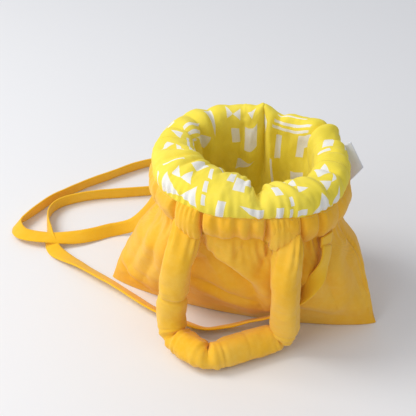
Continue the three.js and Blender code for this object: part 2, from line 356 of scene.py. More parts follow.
class BagForm:
    """The shape that the standing bag's cloth takes, with its top turned outwards."""

    ROLL_MIDDLE = 0.213          # height of the widest part of the roll
    LINING_FOOT = 0.0106         # height at which the lining's walls end

    ROLL_OUTER = Outline((
        (-180, 0.122), (-160, 0.119), (-147, 0.117), (-120, 0.113), (-95, 0.111), (-80, 0.108), (-70, 0.108),
        (-56, 0.112), (-43, 0.120), (-23, 0.125), (0, 0.124), (16, 0.123), (36, 0.124), (45, 0.129),
        (58, 0.116), (75, 0.105), (90, 0.107), (102, 0.110), (121, 0.118), (147, 0.126), (165, 0.125)))
    ROLL_INNER = Outline((
        (-180, 0.067), (-160, 0.058), (-147, 0.052), (-120, 0.045), (-95, 0.041), (-82, 0.045), (-70, 0.066),
        (-60, 0.060), (-43, 0.068), (-23, 0.077), (0, 0.079), (16, 0.080), (36, 0.084), (45, 0.090),
        (58, 0.088), (75, 0.083), (90, 0.078), (102, 0.083), (121, 0.087), (147, 0.084), (165, 0.076)), 4.0)
    ROLL_TOP = Outline((
        (-180, 0.236), (-147, 0.237), (-120, 0.237), (-95, 0.236), (-82, 0.234), (-70, 0.226), (-60, 0.233),
        (-43, 0.234), (-23, 0.233), (0, 0.234), (30, 0.236), (45, 0.239), (60, 0.236), (80, 0.236),
        (86, 0.240), (91, 0.255), (97, 0.239), (121, 0.237), (150, 0.238)), 3.5)
    SEAM_HEIGHT = Outline((
        (-180, 0.204), (-150, 0.204), (-110, 0.208), (-96, 0.206), (-84, 0.208), (-72, 0.204), (-60, 0.206),
        (-38, 0.204), (-20, 0.202), (0, 0.202), (90, 0.204), (150, 0.204)))
    BAND_FOOT = Outline((
        (-180, 0.168), (-150, 0.168), (-117, 0.171), (-109, 0.172), (-94, 0.172), (-84, 0.174), (-72, 0.174),
        (-64, 0.167), (-45, 0.166), (-35, 0.163), (-25, 0.164), (-8, 0.162), (30, 0.165), (90, 0.168),
        (150, 0.168)), 3.0)

    def __init__(self) -> None:
        """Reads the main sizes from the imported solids."""
        low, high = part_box("outer_base")
        band = [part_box("facing_band_front"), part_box("facing_band_back")]
        self.half_width = (high[0] - low[0]) / 2
        self.half_depth = (high[1] - low[1]) / 2
        self.centre = np.array([
            (band[0][0][0] + band[0][1][0]) / 2,
            (band[0][0][1] + band[1][1][1]) / 2])
        width = self.half_width
        self.widths = np.array([
            [0, width], [0.043, 0.922 * width], [0.074, 0.854 * width], [0.105, 0.784 * width],
            [0.131, 0.708 * width], [0.150, 0.660 * width], [0.166, 0.612 * width]])
        self.depths = np.array([
            [0, self.half_depth], [0.020, 0.045], [0.050, 0.066], [0.080, 0.081], [0.110, 0.091],
            [0.140, 0.098], [0.166, 0.100]])

    def section(self, angle: np.ndarray, z: np.ndarray, inset: float | np.ndarray = 0.0) -> np.ndarray:
        """Points of the wall at each angle and height: a pointed lens below, a rounded oval above."""
        opening = smoothstep(0.0, 0.130, z)
        across = np.interp(z, self.widths[:, 0], self.widths[:, 1]) - inset
        deep = np.interp(z, self.depths[:, 0], self.depths[:, 1]) - inset
        cos, sin = np.cos(angle), np.sin(angle)
        x = self.centre[0] * opening + np.sign(cos) * across * np.abs(cos) ** mix(1.0, 0.87, opening)
        y = self.centre[1] * opening + np.sign(sin) * deep * np.abs(sin) ** mix(1.45, 0.87, opening)
        return np.stack(np.broadcast_arrays(x, y, z), axis=-1)

    def around(self, angle: np.ndarray, radius: np.ndarray, z: np.ndarray) -> np.ndarray:
        """Points at a radius from the rim's centre."""
        x = self.centre[0] + radius * np.cos(angle)
        y = self.centre[1] + radius * np.sin(angle)
        return np.stack(np.broadcast_arrays(x, y, z), axis=-1)

    def wall(self, angle: np.ndarray, z: np.ndarray, inset: float | np.ndarray = 0.0) -> np.ndarray:
        """The outer wall, which closes in under the band near its top."""
        rim = self.around(angle, self.ROLL_OUTER.at(angle) - 0.0088 - inset, z)
        return mix(self.section(angle, z, inset), rim, smoothstep(0.095, 0.168, z)[..., None])

    def front_inset(self, angle: np.ndarray, least: float, more: float) -> np.ndarray:
        """Distance in from the wall's outside, with more of it at the deeply folded front."""
        return least + more * np.clip(-2 * np.sin(angle), 0, 1)

    def lining(self, angle: np.ndarray, along: np.ndarray) -> np.ndarray:
        """The lining, from its seam with the band, over the roll and down inside.

        Args:
            angle: place around the bag.
            along: 0 at the seam, 1 at the inner side of the roll, 2 at the bottom of the bag.

        Returns:
            Points.
        """
        outer, inner = self.ROLL_OUTER.at(angle), self.ROLL_INNER.at(angle)
        top, seam = self.ROLL_TOP.at(angle), self.SEAM_HEIGHT.at(angle)
        start = -np.arcsin(np.clip((self.ROLL_MIDDLE - seam) / (top - self.ROLL_MIDDLE), -0.9, 0.9))
        turn = mix(start, np.pi, np.clip(along, 0.0, 1.0))
        middle, half = (outer + inner) / 2, (outer - inner) / 2
        cos, sin = np.cos(turn), np.sin(turn)
        radius = middle + half * np.sign(cos) * np.abs(cos) ** 0.82
        rise = (top - self.ROLL_MIDDLE) * np.sign(sin) * np.abs(sin) ** 0.9
        roll = self.around(angle, radius, self.ROLL_MIDDLE + rise)
        down = np.clip(along - 1.0, 0.0, 1.0)
        z = mix(self.ROLL_MIDDLE, self.LINING_FOOT, down)
        share = smoothstep(0.205, 0.070, z)
        wall = self.section(angle, z, self.front_inset(angle, 0.0185, 0.0130))
        inside = mix(self.around(angle, inner, z), wall, share[..., None])
        return np.where((along > 1.0)[..., None], inside, roll)

    def floor(self, z: float, inset: float, margin: float, columns: int, rows: int) -> np.ndarray:
        """A flat grid that fills the bottom, pointed at both ends.

        Args:
            z: height at which the bag's outline is taken, and of the grid.
            inset: distance in from the outline.
            margin: radians left out at each pointed end.
            columns: points along the bag.
            rows: points across it.

        Returns:
            The grid's points, facing up.
        """
        turn, share = np.meshgrid(np.linspace(margin, math.pi - margin, columns), np.linspace(0, 1, rows))
        height = np.full(turn.shape, z)
        front, back = self.section(-turn, height, inset), self.section(turn, height, inset)
        return mix(front, back, share[..., None])[:, ::-1]


FORM = BagForm()


@dataclass(frozen=True)
class Crumple:
    """Soft, repeatable unevenness of handled cloth: bumps a size apart, stretched along v."""

    seed: int
    size: float
    depth: float
    stretch: float = 1.0

    def height(self, u: np.ndarray, v: np.ndarray) -> np.ndarray:
        """Displacement at each (u, v), from two layers of smoothed random values."""
        rng = np.random.default_rng(self.seed)
        total = np.zeros(np.shape(u))
        for layer, share in ((1.0, 0.7), (2.3, 0.3)):
            lattice = rng.uniform(-1, 1, (64, 64))
            turn = rng.uniform(0, 0.6)
            a = (u * math.cos(turn) + v * math.sin(turn)) / self.size * layer + 31.0
            b = (v * math.cos(turn) - u * math.sin(turn)) / (self.size * self.stretch) * layer + 31.0
            i, j = np.floor(a).astype(int), np.floor(b).astype(int)
            s, t = smoothstep(0, 1, a - i), smoothstep(0, 1, b - j)
            corner = [[lattice[(i + di) % 64, (j + dj) % 64] for dj in (0, 1)] for di in (0, 1)]
            low, high = mix(corner[0][0], corner[1][0], s), mix(corner[0][1], corner[1][1], s)
            total = total + share * mix(low, high, t)
        return total * self.depth


# ---------------------------------------------------------------- finishes

class Shape(Enum):
    """The shapes that the lining's print is made of, with the names of their node groups."""

    BAR = "Print bar"
    TRIANGLE = "Print triangle"


def rgb(red: int, green: int, blue: int) -> tuple[float, float, float, float]:
    """A display colour, 0 to 255, as linear light."""
    def linear(value: int) -> float:
        """One channel."""
        share = value / 255
        return share / 12.92 if share <= 0.04045 else ((share + 0.055) / 1.055) ** 2.4
    return linear(red), linear(green), linear(blue), 1.0


class Nodes:
    """Short ways to add shader nodes to one tree."""

    def __init__(self, tree: bpy.types.NodeTree) -> None:
        """Keeps the tree to add to."""
        self.tree = tree

    def add(self, kind: str, *inputs: object, **settings: object) -> bpy.types.Node:
        """A node with its inputs linked or set, in order; None leaves one alone."""
        node = self.tree.nodes.new(kind)
        for name, value in settings.items():
            setattr(node, name, value)
        for socket, value in zip(node.inputs, inputs):
            self.feed(socket, value)
        return node

    def feed(self, socket: bpy.types.NodeSocket, value: object) -> None:
        """Links or sets one socket."""
        if isinstance(value, bpy.types.NodeSocket):
            self.tree.links.new(value, socket)
        elif value is not None:
            socket.default_value = value

    def math(self, operation: str, a: object, b: object = None, c: object = None,
             clamp: bool = False) -> bpy.types.NodeSocket:
        """A math node's output."""
        return self.add("ShaderNodeMath", a, b, c, operation=operation, use_clamp=clamp).outputs[0]

    def vector(self, operation: str, a: object, b: object = None) -> bpy.types.NodeSocket:
        """A vector math node's output."""
        return self.add("ShaderNodeVectorMath", a, b, operation=operation).outputs[0]

    def ramp(self, value: object, low: float, high: float, out_low: float = 0.0,
             out_high: float = 1.0) -> bpy.types.NodeSocket:
        """A smooth change from out_low to out_high as value goes from low to high."""
        return self.add("ShaderNodeMapRange", value, low, high, out_low, out_high,
                        interpolation_type="SMOOTHSTEP").outputs[0]

    def colours(self, share: object, a: object, b: object, how: str = "MIX") -> bpy.types.NodeSocket:
        """Two colours mixed."""
        node = self.tree.nodes.new("ShaderNodeMix")
        node.data_type, node.blend_type = "RGBA", how
        self.feed(node.inputs["Factor"], share)
        self.feed(node.inputs[6], a)
        self.feed(node.inputs[7], b)
        return node.outputs[2]

    def group(self, tree: bpy.types.NodeTree, **values: object) -> bpy.types.Node:
        """A group node with its inputs fed by name."""
        node = self.tree.nodes.new("ShaderNodeGroup")
        node.node_tree = tree
        for name, value in values.items():
            self.feed(node.inputs[name.replace("_", " ")], value)
        return node


def new_group(name: str, inputs: dict[str, str],
              outputs: dict[str, str]) -> tuple[Nodes, bpy.types.Node, bpy.types.Node]:
    """An empty shader node group.

    Args:
        name: the group's name.
        inputs: socket names and their types, without the NodeSocket part.
        outputs: the same for what it gives.

    Returns:
        A node adder, the input node and the output node.
    """
    tree = bpy.data.node_groups.new(name, "ShaderNodeTree")
    for in_out, sockets in (("INPUT", inputs), ("OUTPUT", outputs)):
        for socket, kind in sockets.items():
            tree.interface.new_socket(name=socket, in_out=in_out, socket_type="NodeSocket" + kind)
    return Nodes(tree), tree.nodes.new("NodeGroupInput"), tree.nodes.new("NodeGroupOutput")


class Shared:
    """The shader node groups that the finishes use, each made once."""

    def __init__(self) -> None:
        """Makes every group."""
        self.weave = self.make_weave()
        self.tone = self.make_tone()
        self.stitch = self.make_stitch()
        self.shapes = {
            Shape.BAR: self.make_shape(Shape.BAR, self.bar),
            Shape.TRIANGLE: self.make_shape(Shape.TRIANGLE, self.triangle)}

    def make_weave(self) -> bpy.types.NodeTree:
        """Crossing threads: a mask of the threads and a height for bumps."""
        nodes, start, end = new_group(
            "Plain weave", {"Cloth": "Vector", "Pitch": "Float"}, {"Threads": "Float", "Height": "Float"})
        parts = nodes.add("ShaderNodeSeparateXYZ", start.outputs["Cloth"])
        waves = []
        for i in (0, 1):
            turns = nodes.math("DIVIDE", parts.outputs[i], start.outputs["Pitch"])
            waves.append(nodes.math("SINE", nodes.math("MULTIPLY", turns, 2 * math.pi)))
        both = nodes.math("MULTIPLY", waves[0], waves[1])
        slub = nodes.add("ShaderNodeTexNoise", start.outputs["Cloth"], None, 900.0, 2.0)
        half, uneven = nodes.math("MULTIPLY", both, 0.5), nodes.math("MULTIPLY", slub.outputs[0], 0.6)
        nodes.feed(end.inputs["Threads"], nodes.math("ADD", half, 0.5))
        nodes.feed(end.inputs["Height"], nodes.math("ADD", half, uneven))
        return nodes.tree

    def make_tone(self) -> bpy.types.NodeTree:
        """Uneven dye and rubbed places over a base colour."""
        nodes, start, end = new_group(
            "Cloth tone", {"Place": "Vector", "Base": "Color", "Worn": "Color", "Amount": "Float"},
            {"Color": "Color", "Mask": "Float"})
        broad = nodes.add("ShaderNodeTexNoise", start.outputs["Place"], None, 14.0, 3.0, 0.55)
        fine = nodes.add("ShaderNodeTexNoise", start.outputs["Place"], None, 160.0, 4.0, 0.6)
        mask = nodes.math("ADD", nodes.ramp(broad.outputs[0], 0.35, 0.7, 0.0, 0.7),
                          nodes.ramp(fine.outputs[0], 0.4, 0.7, 0.0, 0.3))
        share = nodes.math("MULTIPLY", mask, start.outputs["Amount"], clamp=True)
        nodes.feed(end.inputs["Color"], nodes.colours(share, start.outputs["Base"], start.outputs["Worn"]))
        nodes.feed(end.inputs["Mask"], mask)
        return nodes.tree

    def make_stitch(self) -> bpy.types.NodeTree:
        """A line of stitches across the cloth at one height: a thread mask and its height."""
        nodes, start, end = new_group(
            "Stitch line", {"Along": "Float", "Across": "Float", "Line": "Float", "Length": "Float"},
            {"Thread": "Float", "Height": "Float"})
        away = nodes.math("ABSOLUTE", nodes.math("SUBTRACT", start.outputs["Across"], start.outputs["Line"]))
        on = nodes.ramp(away, 0.0003, 0.0007, 1.0, 0.0)
        share = nodes.math("FRACT", nodes.math("DIVIDE", start.outputs["Along"], start.outputs["Length"]))
        dash = nodes.ramp(nodes.math("ABSOLUTE", nodes.math("SUBTRACT", share, 0.5)), 0.30, 0.38, 1.0, 0.0)
        thread = nodes.math("MULTIPLY", on, dash)
        dip = nodes.ramp(away, 0.0, 0.0022, -1.0, 0.0)
        nodes.feed(end.inputs["Thread"], thread)
        nodes.feed(end.inputs["Height"], nodes.math("ADD", dip, thread))
        return nodes.tree

    def make_shape(self, shape: Shape, inside: Callable[..., bpy.types.NodeSocket]) -> bpy.types.NodeTree:
        """A printed shape in a slanted square from -1 to 1; the mask is 1 inside it."""
        nodes, start, end = new_group(
            shape.value, {"Cloth": "Vector", "Place": "Vector", "Across": "Vector", "Up": "Vector"},
            {"Mask": "Float"})
        moved = nodes.vector("SUBTRACT", start.outputs["Cloth"], start.outputs["Place"])
        x, y = (nodes.vector("DOT_PRODUCT", moved, start.outputs[side]).node.outputs["Value"]
                for side in ("Across", "Up"))
        nodes.feed(end.inputs["Mask"], inside(nodes, x, y))
        return nodes.tree

    def edge(self, nodes: Nodes, reach: object) -> bpy.types.NodeSocket:
        """1 where reach is under 1, with a narrow soft edge."""
        return nodes.ramp(reach, 0.94, 1.04, 1.0, 0.0)

    def bar(self, nodes: Nodes, x: object, y: object) -> bpy.types.NodeSocket:
        """A rectangle."""
        return self.edge(nodes, nodes.math("MAXIMUM", nodes.math("ABSOLUTE", x), nodes.math("ABSOLUTE", y)))

    def triangle(self, nodes: Nodes, x: object, y: object) -> bpy.types.NodeSocket:
        """A right triangle with its square corner at -1, -1."""
        low = nodes.math("MAXIMUM", nodes.math("MULTIPLY", x, -1.0), nodes.math("MULTIPLY", y, -1.0))
        return self.edge(nodes, nodes.math("MAXIMUM", low, nodes.math("ADD", nodes.math("ADD", x, y), 1.0)))


@dataclass(frozen=True)
class Motif:
    """One printed shape on the lining, in millimetres of cloth from the roll's seam and its right side.

    It is given by one corner and the corners at the far ends of that corner's two sides.
    """

    shape: Shape
    corner: tuple[float, float]
    first: tuple[float, float]
    second: tuple[float, float]

    def frame(self) -> tuple[tuple[float, float, float], ...]:
        """The shape's middle and the two directions that measure it from -1 to 1, in metres."""
        corner, first, second = (np.array(p, float) / 1000 for p in (self.corner, self.first, self.second))
        middle, x, y = (first + second) / 2, (first - corner) / 2, (second - corner) / 2
        area = x[0] * y[1] - x[1] * y[0]
        across, up = np.array([y[1], -y[0]]) / area, np.array([-x[1], x[0]]) / area
        return tuple((float(v[0]), float(v[1]), 0.0) for v in (middle, across, up))


@dataclass(frozen=True)
class Finish:
    """How one kind of cloth looks.

    Attributes:
        name: the material's name.
        slot: the record's material slot.
        base: main colour, 0 to 255.
        worn: colour of rubbed and faded places.
        roughness: mean roughness.
        sheen: strength of the soft light at grazing angles.
        pitch: distance between threads in metres.
        bump: strength of the weave.
        thread: colour of the stitches or the print.
        motifs: printed shapes.
        stitch_lines: heights of the lines of stitches, in metres of cloth.
    """

    name: str
    slot: str
    base: tuple[int, int, int]
    worn: tuple[int, int, int]
    roughness: float = 0.85
    sheen: float = 0.22
    pitch: float = 0.0011
    bump: float = 0.25
    thread: tuple[int, int, int] = (236, 190, 90)
    motifs: tuple[Motif, ...] = ()
    stitch_lines: tuple[float, ...] = ()

    def build(self, shared: Shared) -> bpy.types.Material:
        """The material, made from the shared groups.

        Args:
            shared: the node groups.

        Returns:
            A new material.
        """
        material = bpy.data.materials.new(self.name)
        material.use_nodes = True
        tree = material.node_tree
        tree.nodes.clear()
        nodes = Nodes(tree)
        cloth_uv = nodes.add("ShaderNodeUVMap", uv_map="Cloth").outputs[0]
        space = nodes.add("ShaderNodeTexCoord").outputs["Object"]
        weave = nodes.group(shared.weave, Cloth=cloth_uv, Pitch=self.pitch)
        tone = nodes.group(
            shared.tone, Place=space, Base=rgb(*self.base), Worn=rgb(*self.worn), Amount=0.55)
        colour = tone.outputs["Color"]
        height = nodes.math("MULTIPLY", weave.outputs["Height"], 0.35)
        if self.motifs:
            colour = self.print_on(nodes, shared, cloth_uv, colour)
        colour, height = self.sew(nodes, shared, cloth_uv, colour, height)
        threads = nodes.ramp(weave.outputs["Threads"], 0.0, 1.0, 0.93, 1.04)
        grey = nodes.add("ShaderNodeCombineColor", threads, threads, threads).outputs[0]
        colour = nodes.colours(1.0, colour, grey, "MULTIPLY")
        fuzz = nodes.add("ShaderNodeTexNoise", space, None, 70.0, 3.0, 0.6)
        dents = nodes.ramp(fuzz.outputs[0], 0.3, 0.7)
        bump = nodes.add("ShaderNodeBump", self.bump, 0.0012)
        nodes.feed(bump.inputs["Height"], nodes.math("ADD", height, nodes.math("MULTIPLY", dents, 0.5)))
        shader = nodes.add("ShaderNodeBsdfPrincipled")
        nodes.feed(shader.inputs["Base Color"], colour)
        rough = nodes.ramp(fuzz.outputs[0], 0.2, 0.8, self.roughness - 0.07, self.roughness + 0.06)
        nodes.feed(shader.inputs["Roughness"], rough)
        nodes.feed(shader.inputs["Normal"], bump.outputs[0])
        shader.inputs["Sheen Weight"].default_value = self.sheen
        shader.inputs["Sheen Roughness"].default_value = 0.5
        shader.inputs["Specular IOR Level"].default_value = 0.25
        out = nodes.add("ShaderNodeOutputMaterial")
        tree.links.new(shader.outputs[0], out.inputs[0])
        return material

    def print_on(self, nodes: Nodes, shared: Shared, cloth_uv: object,
                 colour: object) -> bpy.types.NodeSocket:
        """The printed shapes laid over the cloth's colour."""
        wobble = nodes.add("ShaderNodeTexNoise", cloth_uv, None, 260.0, 2.0)
        shift = nodes.vector("SCALE", nodes.vector("SUBTRACT", wobble.outputs[1], (0.5, 0.5, 0.5)))
        shift.node.inputs["Scale"].default_value = 0.0012
        ground = nodes.vector("ADD", cloth_uv, shift)
        total: object = 0.0
        for motif in self.motifs:
            place, across, up = motif.frame()
            shape = nodes.group(shared.shapes[motif.shape], Cloth=ground, Place=place, Across=across, Up=up)
            total = nodes.math("MAXIMUM", total, shape.outputs[0])
        ink = nodes.add("ShaderNodeTexNoise", cloth_uv, None, 700.0, 2.0)
        cover = nodes.math("MULTIPLY", total, nodes.ramp(ink.outputs[0], 0.25, 0.5, 0.86, 0.97))
        return nodes.colours(cover, colour, rgb(*self.thread))

    def sew(self, nodes: Nodes, shared: Shared, cloth_uv: object, colour: object,
            height: object) -> tuple[object, object]:
        """Stitch lines over the cloth's colour and height."""
        if not self.stitch_lines:
            return colour, height
        parts = nodes.add("ShaderNodeSeparateXYZ", cloth_uv)
        for line in self.stitch_lines:
            stitch = nodes.group(
                shared.stitch, Along=parts.outputs[0], Across=parts.outputs[1], Line=line, Length=0.0032)
            share = nodes.math("MULTIPLY", stitch.outputs["Thread"], 0.7)
            colour = nodes.colours(share, colour, rgb(*self.thread))
            height = nodes.math("ADD", height, stitch.outputs["Height"])
        return colour, height


# ---------------------------------------------------------------- the pieces

@dataclass
class SubAssembly:
    """A group of pieces that are sewn together.

    Attributes:
        finishes: every material, by finish name.
        made: the pieces built so far.
    """

    finishes: dict[str, bpy.types.Material]
    made: list[bpy.types.Object]

    def dress(self, piece: bpy.types.Object, finish: Finish, body: str, *nodes: str) -> bpy.types.Object:
        """Gives a piece its cloth, its body and the solids it stands for.

        Args:
            piece: the new object.
            finish: its finish.
            body: the body it moves with; empty leaves it without one.
            nodes: the solids it replaces.

        Returns:
            The same object.
        """
        piece.data.materials.append(self.finishes[finish.name])
        if body:
            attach(piece, body)
        if nodes:
            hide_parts(*nodes)
        self.made.append(piece)
        log.info("%s: %d vertices", piece.name, len(piece.data.vertices))
        return piece


@dataclass
class OuterBag(SubAssembly):
    """The outer cloth: two panels and a base."""

    panel_rows: int = 96
    panel_columns: int = 220

    FRONT_FOLDS = folds_mm(
        ((-36, 160, -30, 140, -20, 128, 0, 117, 14, 104, 26, 87, 36, 62), 15, 12, 8.5, 18, 13),
        ((-64, 96, -44, 110, -28, 122), 13, 22),
        ((-58, 82, -28, 74, 9, 60, 42, 50), 4.5, 6, 4.5, -12, 10),
        ((104, 158, 112, 132, 117, 108, 130, 57), 5.5, 6, 4.5, 13, 10),
        ((88, 160, 92, 135, 90, 110), 4.5, 6, 3.5, 12, 10),
        ((134, 118, 149, 92, 160, 63, 168, 35), 4, 5, 3, 10, 8),
        ((-110, 150, -119, 120, -128, 100, -149, 44), 4.5, 6, 3.5, 12, 10),
        ((-92, 154, -101, 120, -110, 80, -123, 40), 4, 6, 3, 12, 10),
        ((-169, 37, -152, 21, -139, 16, -124, 13), 4, 5, 3, 10, 8),
        ((50, 160, 47, 140, 41, 120), 4.5, 6),
        ((40, 46, 80, 40, 120, 26, 150, 15), 2.5, 9, 2, 14, 10),
        ((-10, 162, -6, 148, 2, 138), 3.5, 5),
        ((20, 162, 16, 150, 10, 141), 3, 5))
    BACK_FOLDS = folds_mm(
        ((-60, 160, -30, 110, 20, 70), 6, 10, 4),
        ((70, 158, 50, 120, 46, 70, 70, 30), 5, 8, 3.5),
        ((-110, 140, -125, 90, -150, 40), 4.5, 7, 3),
        ((115, 140, 128, 90, 150, 35), 4.5, 7, 3),
        ((-50, 60, 0, 48, 60, 55), 3.5, 8, 3))

    def build(self) -> None:
        """Makes the front, the back and the base."""
        for half, folds, seed in ((Half.FRONT, self.FRONT_FOLDS, 3), (Half.BACK, self.BACK_FOLDS, 8)):
            heights = np.linspace(ON_FLOOR, 0.180, self.panel_rows)
            angle, z = np.meshgrid(half.angles(self.panel_columns), heights)
            points = FORM.wall(angle, z)
            u = points[..., 0].copy()
            room = smoothstep(0.0, 0.018, z) * smoothstep(0.174, 0.160, z)
            room = room * smoothstep(0.0, 0.06, half.from_seam(angle))
            creased = raised(points, sum(fold.height(u, z) for fold in folds))
            points = mix(points, creased, room[..., None])
            bumps = Crumple(seed, 0.034, 0.0030, 1.7).height(u, z)
            bumps = bumps + Crumple(seed + 1, 0.014, 0.0009).height(u, z)
            gathers = 0.0013 * Ripple(seed, 40, 75).at(angle) * smoothstep(0.118, 0.165, z)
            points = raised(points, (bumps + gathers) * room)
            points[..., 2] = np.maximum(points[..., 2], ON_FLOOR)
            panel = cloth(f"Outer {half.word} panel", points, np.stack([u, z], -1), 0.0016)
            self.dress(panel, OUTER_CLOTH, "bag", f"outer_{half.word}_panel")
        points = FORM.floor(0.0002, 0.0, 0.03, 90, 14) + 0.0016 * UP
        self.dress(cloth("Outer base", points, points[..., :2], 0.0014), OUTER_CLOTH, "bag", "outer_base")


@dataclass
class Lining(SubAssembly):
    """The printed lining: it covers the turned-out roll and goes down inside to its base."""

    rows: int = 150
    columns: int = 240

    ROLL_FOLDS = folds_mm(
        ((-140, 20, -140, 50, -141.5, 85, -140, 130), 10, 4.2, 4, 12, 9),
        ((-127, 40, -132, 62, -138, 88), 4.5, 3.6, 2, -8, 6),
        ((-153, 34, -150, 60, -145, 90), 4.2, 3.6, 2, 8, 6),
        ((-164, 50, -157, 72, -149, 98), 3.4, 3.6, 1.6, 8, 6),
        ((-113, 50, -120, 68, -130, 88), 3, 3.6),
        ((-214, 64, -220, 84, -228, 104), 3, 5, 1.4, 10, 8),
        ((-248, 46, -262, 72, -274, 104), 4.4, 5, 2.4, 12, 9),
        ((-276, 40, -286, 70, -290, 110), 5.6, 5, 3, 12, 9),
        ((-311, 30, -306, 62, -301, 108), 5.6, 5, 3, 12, 9),
        ((-335, 36, -326, 66, -317, 108), 4.4, 4.6, 2.4, 12, 9),
        ((-85, 30, -90, 52, -96, 80), 3.4, 4.2, 2, 10, 8),
        ((-50, 8, -52, 30, -48, 60), 3.4, 4.4, 2, 10, 8),
        ((-23, 12, -21, 35, -19, 70), 4, 4.6, 2.2, 10, 8))
    BACK_FOLDS = folds_mm(
        ((92, 10, 90, 36, 89, 60, 85, 110), 7, 4.2, 5, 12, 9),
        ((22, 12, 23, 35, 26, 70), 4, 4.6, 2.2, 10, 8),
        ((57, 12, 56, 36, 58, 70), 4, 4.6, 2.2, 10, 8),
        ((182, 40, 180, 80, 178, 130, 182, 200), 12, 7, 6, 14, 10),
        ((150, 20, 154, 60, 150, 110), 3, 6, 1.6, 14, 10),
        ((216, 60, 220, 110, 215, 170), 4.6, 7, 2.8, 16, 12),
        ((264, 10, 268, 50, 272, 90), 3, 6, 2, 14, 10),
        ((300, 30, 298, 70, 290, 130), 6, 5.6, 3.4, 14, 10),
        ((334, 30, 332, 60, 326, 110), 4.4, 5, 2.6, 12, 9))

    def build(self) -> None:
        """Makes the two halves and the base."""
        over_roll = 84
        steps = np.concatenate(
            [np.linspace(0, 1, over_roll)[:-1], np.linspace(1, 2, self.rows - over_roll + 1)])
        for half, folds, seed in ((Half.FRONT, self.ROLL_FOLDS, 21), (Half.BACK, self.BACK_FOLDS, 27)):
            angle, along = np.meshgrid(half.angles(self.columns), steps)
            points = FORM.lining(angle, along)
            travel = np.linalg.norm(np.diff(points, axis=0), axis=2)
            v = np.vstack([np.zeros((1, self.columns)), np.cumsum(travel, axis=0)])
            u = angle * ROLL_RADIUS
            edge = smoothstep(0.0, 0.010, v) * smoothstep(2.0, 1.93, along)
            height = sum(fold.height(u, v) for fold in folds)
            height = height + Crumple(seed, 0.030, 0.0026, 1.3).height(u, v)
            height = (height + Crumple(seed + 2, 0.011, 0.0010, 1.5).height(u, v)) * edge
            gathers = 0.0011 * Ripple(seed, 45, 90).at(angle) * bell(v, 0.020) * smoothstep(0.0, 0.004, v)
            from_seam = half.from_seam(angle)
            height = (height + gathers) * smoothstep(0.0, 0.05, from_seam) - 0.0005 * bell(from_seam, 0.010)
            piece = cloth(f"Lining {half.word}", raised(points, height), np.stack([u, v], -1), 0.0012)
            self.dress(piece, LINING_CLOTH, "bag", f"lining_{half.word}")
        points = FORM.floor(0.012, 0.0190, 0.10, 80, 20)
        points[..., 2] = 0.0112 + Crumple(31, 0.03, 0.0012).height(points[..., 0], points[..., 1])
        base = cloth("Lining base", points, points[..., :2] + np.array([0.5, 0.9]), 0.0012)
        self.dress(base, LINING_CLOTH, "bag", "lining_base")


@dataclass
class Padding(SubAssembly):
    """The wadding between the outer cloth and the lining, and in the roll; none of it shows."""

    def build(self) -> None:
        """Makes the body wadding, the roll wadding and the base wadding."""
        for half in Half:
            angle, z = np.meshgrid(half.angles(90), np.linspace(0.011, 0.110, 24))
            points = FORM.wall(angle, z, FORM.front_inset(angle, 0.0108, 0.0154))
            fill = cloth(f"Body wadding {half.word}", points, np.stack([angle * 0.15, z], -1), 0.0015)
            self.dress(fill, WADDING, "bag", f"wadding_{half.word}")
            rings = self.roll_rings(half)
            tube = loft(f"Roll wadding {half.word}", rings, rings[..., :2])
            self.dress(tube, WADDING, "bag", f"cuff_wadding_{half.word}")
        points = FORM.floor(0.008, 0.016, 0.14, 60, 10)
        base = slab("Base wadding", points, points - 0.005 * UP, points[..., :2])
        self.dress(base, WADDING, "bag", "wadding_base")

    def roll_rings(self, half: Half) -> np.ndarray:
        """Closed sections of the roll's filling, one at each angle."""
        angle = mix(half.angles(70), sum(half.value) / 2, 0.015)
        turn = np.linspace(0, 2 * math.pi, 28, endpoint=False)
        angle, turn = np.meshgrid(angle, turn, indexing="ij")
        outer, inner = FORM.ROLL_OUTER.at(angle) - 0.016, FORM.ROLL_INNER.at(angle) + 0.016
        spread = np.maximum((outer - inner) / 2, 0.004)
        radius = (outer + inner) / 2 + spread * np.cos(turn)
        return FORM.around(angle, radius, 0.207 + 0.011 * np.sin(turn))


